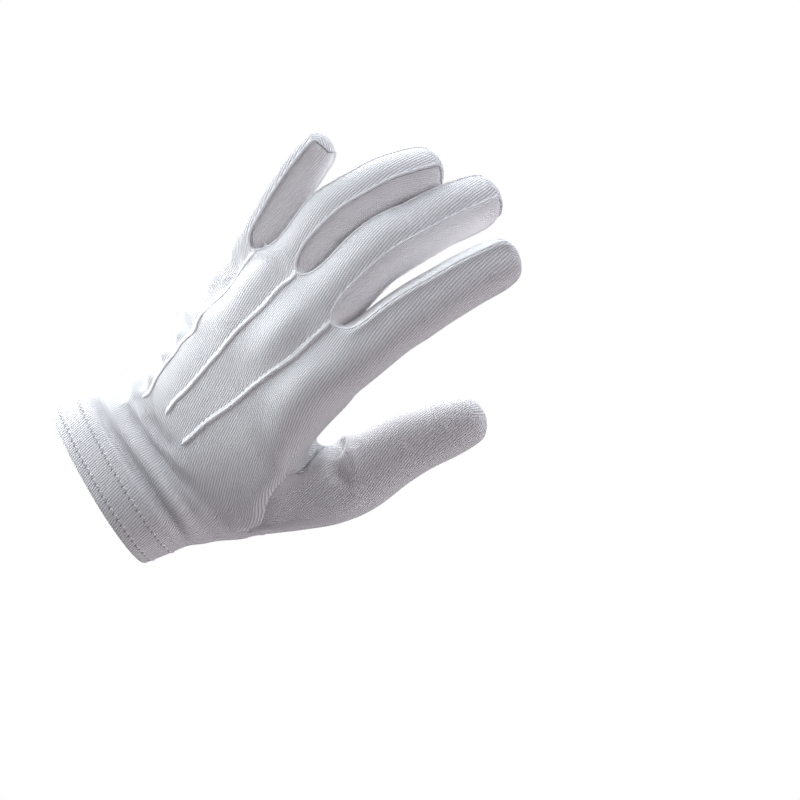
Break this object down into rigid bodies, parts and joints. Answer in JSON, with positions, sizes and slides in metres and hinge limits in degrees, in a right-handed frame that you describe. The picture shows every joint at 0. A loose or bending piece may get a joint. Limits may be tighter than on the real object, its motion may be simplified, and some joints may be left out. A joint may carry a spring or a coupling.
{
  "type": "white parade glove, left hand, in its worn form",
  "caption": "White knitted cotton dress glove for the left hand, hollow, fingers lightly bent, with a stitched wrist hem and raised tucks along its back.",
  "frame": {"origin": "centre of the cuff's rim, where the wrist goes in", "axes": "+Z from the cuff to the fingertips, +X to the thumb's side, -Y out of the back of the hand, +Y out of the palm"},
  "size_m": [0.1178, 0.1089, 0.194],
  "materials": {
    "cotton_knit": "matte fine jersey with a soft fuzz",
    "cotton_hem": "matte fine jersey, folded double and stitched",
    "cotton_tuck": "matte fine jersey, pinched and stitched"
  },
  "bodies": {
    "root": {"trank": "cotton_knit", "thumb": "cotton_knit", "fourchette_index_middle": "cotton_knit", "fourchette_middle_ring": "cotton_knit", "fourchette_ring_little": "cotton_knit", "hem": "cotton_hem", "point_index_middle": "cotton_tuck", "point_middle_ring": "cotton_tuck", "point_ring_little": "cotton_tuck"}
  },
  "joints": []
}
